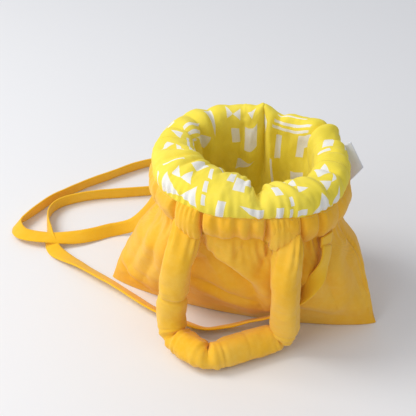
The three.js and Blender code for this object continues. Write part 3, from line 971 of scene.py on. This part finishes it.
@dataclass
class FacingBand(SubAssembly):
    """The padded band of outer cloth under the roll, gathered between the handle ends."""

    rows: int = 48
    columns: int = 300

    HEIGHT = 0.045           # height of the band's cloth
    # angle in degrees, depth in metres, half width in degrees
    PINCHES = ((-127.0, 0.0070, 1.6), (-107.0, 0.0115, 1.7), (-75.0, 0.0050, 2.0), (-65.5, 0.0115, 1.6),
               (-46.0, 0.0095, 1.5), (-84.0, 0.0040, 2.0), (-96.0, 0.0035, 2.2), (-34.0, 0.0060, 1.8),
               (-17.0, 0.0050, 2.2), (-148.0, 0.0050, 2.4), (-166.0, 0.0045, 2.4), (8.0, 0.0050, 2.6),
               (30.0, 0.0050, 2.6), (54.0, 0.0060, 2.0), (72.0, 0.0060, 2.0), (90.0, 0.0045, 2.6),
               (108.0, 0.0060, 2.0), (126.0, 0.0060, 2.0), (148.0, 0.0050, 2.6))

    def surface(self, angle: np.ndarray, up: np.ndarray) -> np.ndarray:
        """The band's outer face.

        Args:
            angle: place around the bag.
            up: 0 at the foot seam, 1 at the seam with the lining.

        Returns:
            Points.
        """
        outer = FORM.ROLL_OUTER.at(angle)
        foot = FORM.BAND_FOOT.at(angle) + 0.0016 * Ripple(9, 18, 40).at(angle)
        seam = FORM.SEAM_HEIGHT.at(angle) + 0.0012
        base = mix(outer - 0.0065, outer - 0.0030, up)
        swell = np.sin(np.pi * np.clip(up, 0, 1)) ** 0.62
        dents = sum(d * bell(np.degrees(angle) - a, w) for a, d, w in self.PINCHES)
        wrinkles = 0.0016 * Ripple(5, 34, 90, 9).at(angle) * (bell(up, 0.22) + bell(1 - up, 0.22))
        wrinkles = wrinkles + Crumple(12, 0.020, 0.0022, 1.5).height(angle * ROLL_RADIUS, up * 0.04)
        radius = base + 0.0098 * swell - dents * swell ** 0.5 + wrinkles * swell
        return FORM.around(angle, radius, mix(foot, seam, up))

    def build(self) -> None:
        """Makes the front and back bands."""
        for half in Half:
            angle, up = np.meshgrid(half.angles(self.columns), np.linspace(0, 1, self.rows))
            points = self.surface(angle, up)
            inner = FORM.around(angle, FORM.ROLL_OUTER.at(angle) - 0.0080, points[..., 2])
            uv = np.stack([angle * ROLL_RADIUS, up * self.HEIGHT], -1)
            piece = slab(f"Facing band {half.word}", points, inner, uv)
            self.dress(piece, BAND_CLOTH, "bag", f"facing_band_{half.word}")


@dataclass
class Handle(SubAssembly):
    """One padded loop handle; the rear one is the front one turned round."""

    half: Half = Half.FRONT
    rings: int = 260
    sides: int = 40

    ROUTE = ((-0.0470, -0.0830, 0.1790), (-0.0490, -0.0945, 0.1630), (-0.0565, -0.1035, 0.1320),
             (-0.0600, -0.1040, 0.1020), (-0.0618, -0.1035, 0.0780), (-0.0655, -0.1035, 0.0480),
             (-0.0640, -0.1060, 0.0340), (-0.0580, -0.1140, 0.0205), (-0.0450, -0.1205, 0.0185),
             (-0.0290, -0.1290, 0.0180), (-0.0100, -0.1360, 0.0180), (0.0040, -0.1265, 0.0180),
             (0.0300, -0.1065, 0.0180), (0.0550, -0.0880, 0.0185), (0.0690, -0.0790, 0.0215),
             (0.0745, -0.0790, 0.0340), (0.0755, -0.0825, 0.0520), (0.0760, -0.0880, 0.0800),
             (0.0755, -0.0930, 0.1240), (0.0740, -0.0895, 0.1600), (0.0700, -0.0765, 0.1780))
    # route point, depth as a share of the radius, half width as a share of the length
    KINKS = ((1, 0.06, 0.020), (3, 0.05, 0.006), (4, 0.28, 0.0065), (7, 0.66, 0.0090), (8, 0.08, 0.006),
             (9, 0.05, 0.006), (10, 0.60, 0.0090), (11, 0.10, 0.006), (12, 0.06, 0.005), (14, 0.52, 0.0080),
             (15, 0.10, 0.006), (17, 0.05, 0.012), (19, 0.08, 0.008))

    @property
    def word(self) -> str:
        """Front or rear."""
        return "front" if self.half is Half.FRONT else "rear"

    def placed(self, points: np.ndarray) -> np.ndarray:
        """Points of the front handle, turned round for the rear one."""
        if self.half is Half.FRONT:
            return points
        return points * np.array([-1.0, -1.0, 1.0]) + np.array([0.0, REAR_SHIFT, 0.0])

    def tube(self, name: str, share: float) -> bpy.types.Object:
        """The handle's tube, at a share of its full thickness."""
        path = smooth_path(self.ROUTE, self.rings)
        side, normal = path_frames(path, (1.0, 0.0, 0.0))
        along = np.linspace(0, 1, self.rings)[:, None]
        turn = np.linspace(0, 2 * math.pi, self.sides, endpoint=False)[None, :]
        near_end = np.minimum(along, 1 - along)
        puff = smoothstep(0.0, 0.13, near_end)
        wide = mix(0.0185, 0.0180, puff) * share
        deep = mix(0.0050, 0.0170, puff) * share
        places = [np.linalg.norm(path - point, axis=1).argmin() / (self.rings - 1) for point in self.ROUTE]
        squeeze = sum(d * np.exp(-np.abs(along - places[at]) / w) for at, d, w in self.KINKS)
        cloth_u = turn * 0.0175 + 0 * along
        cloth_v = along * path_length(path) + 0 * turn
        seed = 41 if self.half is Half.FRONT else 47
        bumps = Crumple(seed, 0.022, 0.0021, 2.2).height(cloth_u, cloth_v)
        bumps = bumps + Crumple(43, 0.010, 0.0009, 1.0).height(cloth_u, cloth_v)
        near_kink = sum(depth * bell(along - places[at], 0.022) for at, depth, _ in self.KINKS)
        crease = 0.0020 * np.sin(cloth_v * 2 * math.pi / 0.0085 + 2.4 * np.sin(turn)) * near_kink
        gather = 0.0017 * np.sin(turn * 9 + 0.8 + 30 * near_end) * bell(near_end - 0.035, 0.045)
        seam = -0.0012 * bell(turn - math.pi, 0.10)
        inner_side = 0.5 + 0.5 * np.cos(turn)
        grow = 1.0 - squeeze * (0.35 + 0.65 * inner_side)
        cos, sin = np.cos(turn), np.sin(turn)
        more = (bumps + crease + gather + seam) * share
        a = (wide * grow + more) * np.sign(cos) * np.abs(cos) ** 0.82
        b = (deep * grow + more * mix(0.4, 1.0, puff)) * np.sign(sin) * np.abs(sin) ** 0.82
        rings = path[:, None] + side[:, None] * a[..., None] + normal[:, None] * b[..., None]
        rings[..., 2] = np.maximum(rings[..., 2], 0.0006)
        piece = loft(name, self.placed(rings), np.stack([cloth_u, cloth_v], -1))
        piece.data.flip_normals()    # the rings run the other way round than loft expects
        return piece

    def build(self) -> None:
        """Makes the sleeve and its filling, which bend from the sewn ends to the swinging loop."""
        body = f"{self.word}_handle"
        for name, finish, share in (("sleeve", HANDLE_CLOTH, 1.0), ("core", WADDING, 0.86)):
            piece = self.tube(f"{self.word.title()} handle {name}", share)
            self.dress(piece, finish, "", f"{body}_{name}")
            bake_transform(piece)


@dataclass
class HandleEnds(SubAssembly):
    """The flat ends of both handles, sewn over the band."""

    HALF_ANGLE = math.radians(9.2)
    PLACES = (("front_handle_end_left", -117.0), ("front_handle_end_right", -54.5),
              ("rear_handle_end_left", 63.0), ("rear_handle_end_right", 117.0))

    def build(self) -> None:
        """Makes the four ends."""
        for name, degrees in self.PLACES:
            centre = math.radians(degrees)
            angles = np.linspace(centre - self.HALF_ANGLE, centre + self.HALF_ANGLE, 46)
            angle, up = np.meshgrid(angles, np.linspace(0.0, 0.985, 46))
            across = (angle - centre) / self.HALF_ANGLE
            radius = mix(FORM.ROLL_OUTER.at(np.full_like(angle, centre)), FORM.ROLL_OUTER.at(angle), 0.5)
            round_off = np.sqrt(np.clip(1 - 0.92 * across ** 4, 0, 1))
            radius = (radius + mix(-0.0020, -0.0035, up)
                      + 0.0102 * round_off * np.sin(np.pi * mix(0.12, 0.97, up)) ** 0.5
                      + 0.0008 * np.sin(across * 17) * (bell(1 - up, 0.35) + bell(up, 0.3)))
            foot, top = float(FORM.BAND_FOOT.at(centre)) - 0.003, FORM.SEAM_HEIGHT.at(angle) + 0.0010
            face = FORM.around(angle, radius, mix(foot, top, up))
            back = FORM.around(angle, FORM.ROLL_OUTER.at(angle) - 0.0060, face[..., 2])
            uv = np.stack([across * 0.018, up * 0.04], -1)
            piece = slab(name.capitalize(), face, back, uv)
            self.dress(piece, HANDLE_CLOTH, "bag", name)


@dataclass
class ShoulderStrap(SubAssembly):
    """The long flat strap, its ends sewn in under the band at both sides."""

    width: float = 0.020
    thick: float = 0.0026

    ROUTE = (
        (114.5, -46.4, 150.2), (115.5, -54, 137), (111, -64, 117), (99, -70, 94), (85, -69, 71),
        (72, -62, 51), (52, -59, 31), (25, -61, 18), (0, -68, 10), (-26, -78, 8), (-58, -74, 8),
        (-98, -61, 8), (-162, -30, 8),
        (-233, 4, 7), (-284, 31, 4.2), (-306, 66, 4.2), (-322, 106, 8), (-316, 133, 9), (-284, 161, 9),
        (-197, 199, 9), (-140, 224, 9), (-118, 252, 9), (-130, 284, 9), (-170, 294, 9), (-217, 279, 9),
        (-280, 212, 9), (-327, 148, 9), (-351, 88, 9), (-357, 68, 9), (-341, 47, 11), (-295, 45, 13.2),
        (-258, 59, 11), (-212, 92, 10), (-188, 98, 18), (-165, 91, 44), (-143, 80, 80), (-123, 73, 118),
        (-107, 66.6, 150.2))
    # tilt of the strap's width from upright, in degrees, at each route point
    TILT = (
        0, 15, 30, 50, 75, 100, 116, 125, 125, 125, 125, 125, 125, 118, 70, 12, 6, 10, 12, 10, 8, 0, -10,
        -15, -18, -18, -14, -16, -45, -72, -82, -50, -20, -15, -12, -8, -4, 0)

    def build(self) -> None:
        """Makes the strap and its two sewn ends."""
        count = 420
        route = np.array(self.ROUTE) / 1000
        path = smooth_path(route, count)
        steps = np.concatenate([[0], np.cumsum(np.linalg.norm(np.diff(route, axis=0), axis=1))])
        share = np.linspace(0, 1, count)
        tilt = np.radians(np.interp(share, steps / steps[-1], self.TILT))
        tilt = np.convolve(np.pad(tilt, 4, mode="edge"), np.ones(9) / 9, mode="valid")
        reach = self.width / 2 * np.abs(np.cos(tilt)) + self.thick / 2 * np.abs(np.sin(tilt))
        path[:, 2] = np.maximum(path[:, 2], reach + ON_FLOOR)
        tangents = unit(np.gradient(path, axis=0))
        level = unit(np.cross(tangents, UP))
        upright = np.cross(level, tangents)
        out = np.array([math.cos(math.radians(-30)), math.sin(math.radians(-30)), 0])
        near = smoothstep(0.035, 0.0, share)[:, None]
        far = smoothstep(0.965, 1.0, share)[:, None]
        across = upright * np.cos(tilt)[:, None] + level * np.sin(tilt)[:, None]
        flat = unit(np.cross(out, tangents))
        sign_near, sign_far = np.sign((flat[8] * across[8]).sum()), np.sign((flat[-8] * across[-8]).sum())
        across = unit(across * (1 - near - far) + flat * (near * sign_near + far * sign_far))
        across = unit(across - tangents * (across * tangents).sum(1, keepdims=True))
        face = np.cross(tangents, across)
        half_w, half_t = self.width / 2, self.thick / 2
        lower = [(-1, -0.5), (-0.92, -1), (-0.5, -1.05), (0, -1.1), (0.5, -1.05), (0.92, -1), (1, -0.5)]
        corners = np.array(lower + [(x, -y) for x, y in reversed(lower)])
        along = np.linspace(0, path_length(path), count)[:, None]
        ripple = Crumple(61, 0.030, 0.0010, 1.2).height(corners[None, :, 0] * half_w, along)
        rings = (path[:, None] + across[:, None] * (corners[None, :, :1] * half_w)
                 + face[:, None] * (corners[None, :, 1:] * half_t + ripple[..., None]))
        rings[..., 2] = np.maximum(rings[..., 2], 0.0002)
        uv = np.stack([np.broadcast_to(corners[None, :, 0] * half_w, ripple.shape),
                       np.broadcast_to(along, ripple.shape)], -1)
        strap = loft("Shoulder strap", rings, uv)
        self.dress(strap, STRAP_CLOTH, "bag", "shoulder_strap")
        ends = [self.end("Strap end right", "strap_end_right", -30.0),
                self.end("Strap end left", "strap_end_left", 150.0)]

    def end(self, name: str, node: str, degrees: float) -> bpy.types.Object:
        """One folded, sewn end under the band."""
        middle = np.mean(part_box(node), axis=0)
        angle = math.radians(degrees)
        out = np.array([math.cos(angle), math.sin(angle), 0.0])
        sideways = np.array([-out[1], out[0], 0.0])
        across, up = np.meshgrid(np.linspace(-0.0100, 0.0100, 12), np.linspace(-0.0086, 0.0070, 10))
        face = middle + sideways * across[..., None] + UP * up[..., None]
        round_off = 0.0014 * (1 - 0.5 * (across / 0.0100) ** 6)
        piece = slab(name, face + out * round_off[..., None], face - out * 0.0014, np.stack([across, up], -1))
        return self.dress(piece, STRAP_CLOTH, "bag", node)


@dataclass
class SideLabel(SubAssembly):
    """The small folded cloth label in the seam of the roll."""

    def build(self) -> None:
        """Makes the label, standing out from its sewn edge."""
        across, out = np.meshgrid(np.linspace(0, 1, 26), np.linspace(0, 1, 18))
        sewn = mix(np.array([0.1065, 0.0600, 0.2170]), np.array([0.1250, 0.0600, 0.1750]), across[..., None])
        free = mix(np.array([0.1215, 0.0590, 0.2330]), np.array([0.1405, 0.0600, 0.1990]), across[..., None])
        points = mix(sewn, free, out[..., None])
        points[..., 1] += 0.0020 * np.sin(out * 2.4) * np.cos(across * 2.5)
        sheet = slab("Side label", points, points + np.array([-0.0002, 0.0009, 0.0]), np.stack(
            [across * 0.044, out * 0.024], -1))
        self.dress(sheet, LABEL_CLOTH, "side_label", "side_label")


# ---------------------------------------------------------------- the studio

@dataclass(frozen=True)
class Lamp:
    """One square soft light, which faces the bag."""

    name: str
    place: tuple[float, float, float]
    size: float
    watts: float
    colour: tuple[float, float, float]
    aim: tuple[float, float, float] = (0.0, 0.0, 0.1)

    def build(self) -> None:
        """Adds the light to the scene."""
        data = bpy.data.lights.new(self.name, "AREA")
        data.shape, data.size, data.energy, data.color = "SQUARE", self.size, self.watts, self.colour
        lamp = bpy.data.objects.new(self.name, data)
        lamp.location = self.place
        lamp.rotation_euler = (Vector(self.aim) - Vector(self.place)).to_track_quat("-Z", "Y").to_euler()
        bpy.context.scene.collection.objects.link(lamp)


@dataclass
class Studio:
    """Camera, lights, pale floor and surroundings."""

    azimuth: float = 15.0
    elevation: float = 35.5
    distance: float = 1.290
    target: tuple[float, float, float] = (-0.061, 0.058, 0.100)
    lens: float = 82.2

    LAMPS = (
        Lamp("Window", (-1.65, -0.25, 1.95), 1.2, 34.0, (1.0, 0.985, 0.965)),
        Lamp("Fill", (-1.1, -1.6, 1.5), 1.4, 12.0, (1.0, 0.985, 0.97)))

    def build(self) -> None:
        """Makes everything that isn't the bag."""
        self.camera()
        self.floor()
        for lamp in self.LAMPS:
            lamp.build()
        world = bpy.data.worlds.new("Room")
        bpy.context.scene.world = world
        world.use_nodes = True
        back = world.node_tree.nodes["Background"]
        back.inputs[0].default_value = (0.90, 0.93, 1.0, 1.0)
        back.inputs[1].default_value = 0.54
        bpy.context.scene.view_settings.view_transform = "Standard"

    def camera(self) -> None:
        """Places the camera in front, above and a little to the right."""
        a, e = math.radians(self.azimuth), math.radians(self.elevation)
        back = Vector((math.sin(a) * math.cos(e), -math.cos(a) * math.cos(e), math.sin(e)))
        data = bpy.data.cameras.new("Camera")
        data.lens, data.sensor_width = self.lens, 36.0
        camera = bpy.data.objects.new("Camera", data)
        camera.location = Vector(self.target) + back * self.distance
        camera.rotation_mode = "QUATERNION"
        camera.rotation_quaternion = (-back).to_track_quat("-Z", "Y")
        bpy.context.scene.collection.objects.link(camera)
        bpy.context.scene.camera = camera

    def floor(self) -> None:
        """The plain pale floor."""
        material = bpy.data.materials.new("Floor")
        material.use_nodes = True
        shader = material.node_tree.nodes["Principled BSDF"]
        shader.inputs["Base Color"].default_value = (0.84, 0.84, 0.845, 1.0)
        shader.inputs["Roughness"].default_value = 0.75
        mesh = bpy.data.meshes.new("Floor")
        size = 6.0
        corners = [(-size, -size, 0), (size, -size, 0), (size, size, 0), (-size, size, 0)]
        mesh.from_pydata(corners, [], [(0, 1, 2, 3)])
        mesh.materials.append(material)
        plane = bpy.data.objects.new("Floor", mesh)
        bpy.context.scene.collection.objects.link(plane)


# ---------------------------------------------------------------- the finishes of this bag

# corners of each shape in millimetres of cloth: a corner, then the two corners next to it
TRIANGLES = (
    (-247, 11, -280, 29, -283, 1), (-247, 11, -227, 30, -220, 4), (-257, 32, -281, 45, -273, 30),
    (-257, 32, -253, 48, -237, 29), (-136, 15, -166, 17, -137, -1), (-84, 47, -100, 52, -79, 60),
    (-84, 46, -74, 38, -90, 34), (-64, 27, -78, 1, -52, 3), (-34, 24, -42, 3, -52, 4),
    (-48, 45, -38, 34, -52, 27), (-39, 33, -32, 31, -21, 41), (50, 30, 44, 20, 36, 28),
    (223, 122, 193, 130, 223, 139), (234, 55, 243, 43, 245, 60), (234, 55, 221, 48, 222, 63),
    (209, 53, 195, 50, 201, 61), (279, 49, 265, 43, 268, 87), (324, 77, 282, 84, 291, 103),
    (344, 42, 343, 59, 361, 58), (-330, 35, -346, 43, -340, 52), (100, 30, 125, 30, 100, 8),
    (135, 8, 160, 8, 148, 28), (235, 32, 262, 32, 240, 8), (285, 6, 306, 6, 300, 26),
    (-260, 110, -235, 112, -255, 140), (-170, 120, -150, 150, -180, 150), (-85, 120, -60, 125, -80, 150),
    (120, 170, 150, 170, 130, 200),
)
BARS = (
    (-301, 20, -294, 19, -298, 2), (-268, 73, -248, 69, -272, 56), (-238, 65, -230, 64, -223, 46),
    (-223, 40, -217, 41, -217, 26), (-216, 23, -211, 23, -214, 11), (-232, 76, -212, 74, -232, 73),
    (-193, 22, -183, 21, -196, 1), (-194, 68, -182, 67, -193, 50), (-179, 60, -162, 57, -179, 36),
    (-166, 57, -148, 60, -171, 42), (-121, 44, -111, 45, -119, 30), (-104, 28, -100, 29, -104, 17),
    (-106, 14, -102, 14, -106, 1), (-121, 16, -112, 16, -122, 0), (-97, 12, -86, 13, -97, 3),
    (-29, 63, -10, 54, -43, 51), (58, 54, 58, 40, 36, 60), (30, 68, 32, 50, 26, 67),
    (214, 73, 192, 75, 213, 108), (238, 74, 224, 75, 235, 96), (329, 54, 296, 64, 332, 58),
    (332, 64, 299, 74, 336, 68), (161, 50, 97, 56, 161, 54), (163, 58, 96, 64, 163, 62),
    (158, 41, 112, 44, 158, 43), (155, 71, 145, 71, 157, 105), (112, 69, 97, 72, 119, 101),
    (99, 71, 76, 66, 110, 92), (129, 123, 102, 127, 133, 141), (179, 68, 173, 68, 181, 88),
    (165, 108, 161, 108, 164, 150), (348, 66, 346, 70, 408, 72), (-374, 66, -376, 70, -314, 72),
    (326, 77, 324, 81, 408, 83), (-396, 77, -398, 81, -314, 83), (338, 26, 322, 36, 341, 29),
    (-302, 30, -292, 56, -299, 30), (-335, 60, -316, 62, -340, 54), (70, 8, 80, 8, 70, 28),
    (175, 6, 186, 6, 172, 26), (205, 10, 212, 10, 203, 40), (322, 4, 330, 4, 322, 22),
    (-300, 120, -286, 120, -300, 150), (-215, 130, -195, 130, -215, 160),
    (-120, 110, -108, 110, -120, 150), (-40, 110, -25, 110, -40, 140), (200, 160, 230, 160, 200, 180),
    (260, 150, 275, 150, 260, 185),
)
MOTIFS = tuple(
    Motif(shape, row[0:2], row[2:4], row[4:6])
    for shape, rows in ((Shape.TRIANGLE, TRIANGLES), (Shape.BAR, BARS)) for row in rows)
OUTER_CLOTH = Finish("Mustard canvas", "outer_fabric", (246, 182, 30), (252, 206, 88))
BAND_CLOTH = Finish("Mustard canvas, band", "band_fabric", (246, 182, 30), (252, 206, 88),
                    stitch_lines=(0.0025, 0.0425))
HANDLE_CLOTH = Finish("Mustard canvas, handles", "handle_fabric", (248, 188, 36), (252, 209, 94))
STRAP_CLOTH = Finish("Mustard strap", "strap_fabric", (249, 190, 24), (252, 204, 66))
LINING_CLOTH = Finish("Printed lining", "lining_print", (246, 223, 66), (250, 230, 100), 0.8, 0.08,
                      0.0009, 0.2, (240, 238, 232), MOTIFS)
LABEL_CLOTH = Finish("White tape", "label_cloth", (232, 236, 246), (222, 226, 236), 0.8, 0.05, 0.0008)
WADDING = Finish("Wadding", "wadding", (240, 238, 230), (230, 228, 220), 0.95, 0.1, 0.003)


def main() -> None:
    """Builds the scene in order."""
    logging.basicConfig(level=logging.INFO, format="%(name)s: %(message)s")
    Studio().build()
    shared = Shared()
    finishes = {f.name: f.build(shared) for f in (
        OUTER_CLOTH, BAND_CLOTH, HANDLE_CLOTH, STRAP_CLOTH, LINING_CLOTH, LABEL_CLOTH, WADDING)}
    made: list[bpy.types.Object] = []
    for assembly in (ShoulderStrap, OuterBag, Lining, Padding, FacingBand):
        assembly(finishes, made).build()
    for half in Half:
        Handle(finishes, made, half).build()
    for assembly in (HandleEnds, SideLabel):
        assembly(finishes, made).build()
    log.info("%d pieces", len(made))


if __name__ == "__main__":
    main()
